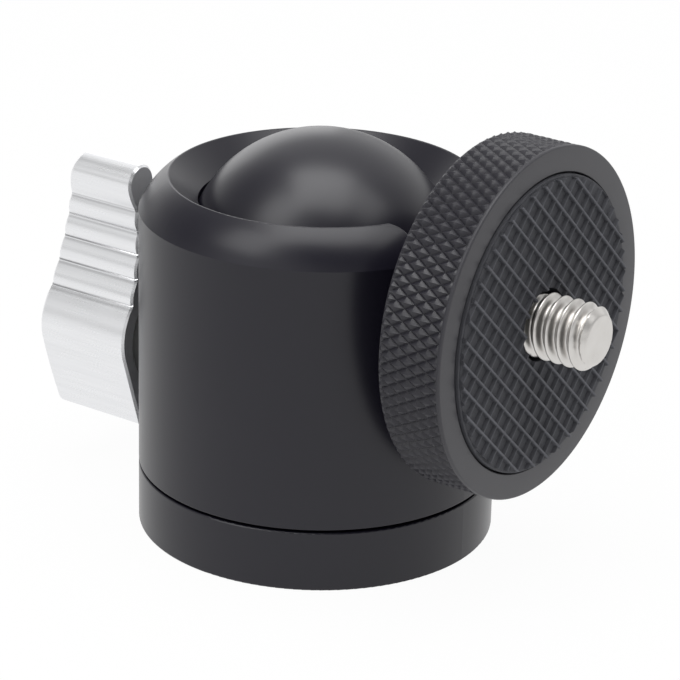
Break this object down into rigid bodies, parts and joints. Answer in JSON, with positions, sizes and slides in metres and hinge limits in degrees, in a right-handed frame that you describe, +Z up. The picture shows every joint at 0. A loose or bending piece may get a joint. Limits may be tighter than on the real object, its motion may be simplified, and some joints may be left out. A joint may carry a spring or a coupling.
{
  "type": "tripod ball head",
  "caption": "Small tripod ball head: notched round body on a turning base, ball with a knurled camera disc and threaded stud, and a side lever that clamps the ball.",
  "frame": {"origin": "centre of the base's bottom face, at the mouth of the tripod thread", "axes": "+Z up along the body's axis; +X along the neck and camera screw as they lie in the notch; -X along the clamp screw"},
  "size_m": [0.061, 0.035, 0.0432],
  "materials": {
    "black_anodised": "satin black anodised",
    "black_ball": "smooth black anodised",
    "black_knurled": "black anodised, knurled rim",
    "silver_aluminium": "satin silver anodised",
    "plain_aluminium": "turned",
    "stainless": "turned stainless",
    "steel": "zinc plated",
    "brass": "turned",
    "black_plastic": "moulded",
    "white_plastic": "turned acetal",
    "rubber": "moulded diamond lattice"
  },
  "bodies": {
    "base": {"base_plate": "black_anodised", "base_pad": "rubber", "base_thread_insert": "stainless", "pan_friction_washer": "black_plastic", "pan_thrust_washer": "steel", "pan_disc_spring": "steel", "pan_circlip": "steel"},
    "housing": {"housing": "black_anodised", "pan_ring": "plain_aluminium", "clamp_bush": "brass"},
    "wedge": {"wedge_slider": "steel"},
    "seat": {"ball_seat": "white_plastic"},
    "lever": {"clamp_lever": "silver_aluminium", "clamp_screw": "steel", "lever_screw": "steel", "lever_washer": "black_plastic"},
    "ball": {"ball_stem": "black_ball"},
    "platform": {"platform_disc": "black_knurled", "platform_pad": "rubber", "camera_screw": "stainless"}
  },
  "joints": [
    {"name": "pan", "type": "hinge", "parent": "base", "child": "housing", "pos_m": [0, 0, 0], "axis": [0, 0, 1], "continuous": true},
    {"name": "tilt", "type": "hinge", "parent": "housing", "child": "ball", "pos_m": [0, 0, 0.02645], "axis": [0, -1, 0], "range_deg": [0, 120]},
    {"name": "platform_spin", "type": "hinge", "parent": "ball", "child": "platform", "pos_m": [0, 0, 0.02645], "axis": [1, 0, 0], "continuous": true},
    {"name": "wedge_slide", "type": "slide", "parent": "housing", "child": "wedge", "axis": [-1, 0, 0], "range_m": [0, 0.00075]},
    {"name": "lever_turn", "type": "hinge", "parent": "wedge", "child": "lever", "pos_m": [0, 0, 0.015], "axis": [-1, 0, 0], "range_deg": [0, 270]},
    {"name": "seat_lift", "type": "slide", "parent": "housing", "child": "seat", "axis": [0, 0, -1], "range_m": [0, 0.0006]}
  ],
  "couplings": [
    {"joint": "lever_turn", "follows": "wedge_slide", "rad_per_m": 6283.2},
    {"joint": "seat_lift", "follows": "wedge_slide", "ratio": 0.78129}
  ]
}
